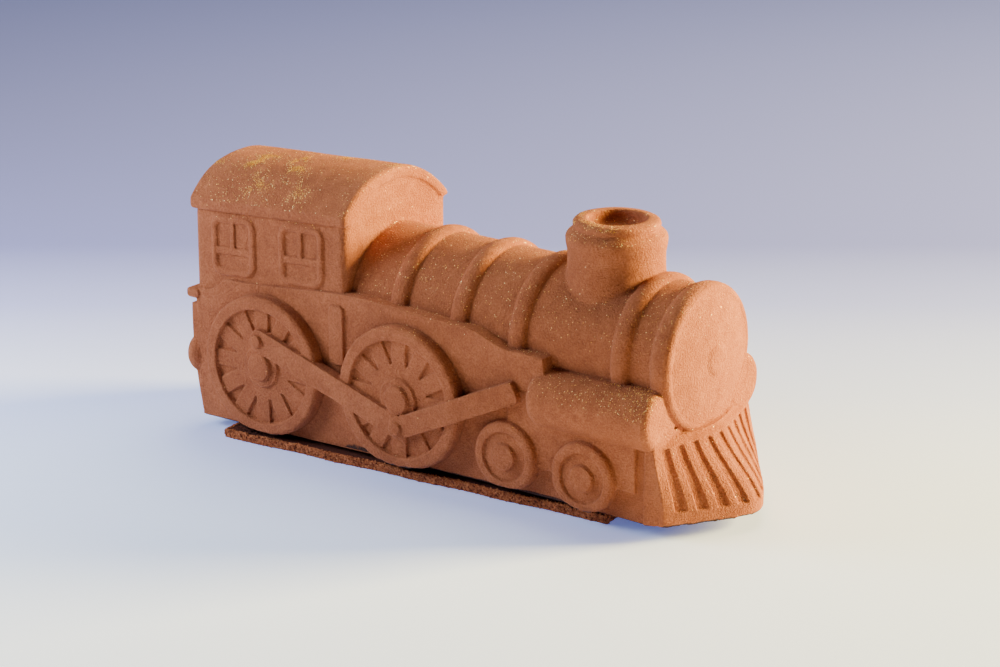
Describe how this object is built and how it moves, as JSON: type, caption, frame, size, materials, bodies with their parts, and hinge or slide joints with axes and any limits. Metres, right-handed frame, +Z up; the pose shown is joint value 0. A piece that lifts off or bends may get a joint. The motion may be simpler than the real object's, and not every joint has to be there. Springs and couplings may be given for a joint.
{
  "type": "yule log cake moulded as a steam engine",
  "caption": "Cocoa-dusted mousse yule log cake moulded in the shape of an old steam engine, on a thin sponge base.",
  "frame": {"origin": "middle of the cake's outline, on the plane that the base rests on", "axes": "+X towards the front of the engine, +Y to its left side, +Z up"},
  "size_m": [0.2768, 0.0916, 0.1237],
  "materials": {
    "cocoa_velvet": "matte cocoa velvet spray",
    "sponge": "crumbly chocolate sponge"
  },
  "bodies": {
    "root": {"moulded_cake": "cocoa_velvet", "sponge_base": "sponge"}
  },
  "joints": []
}
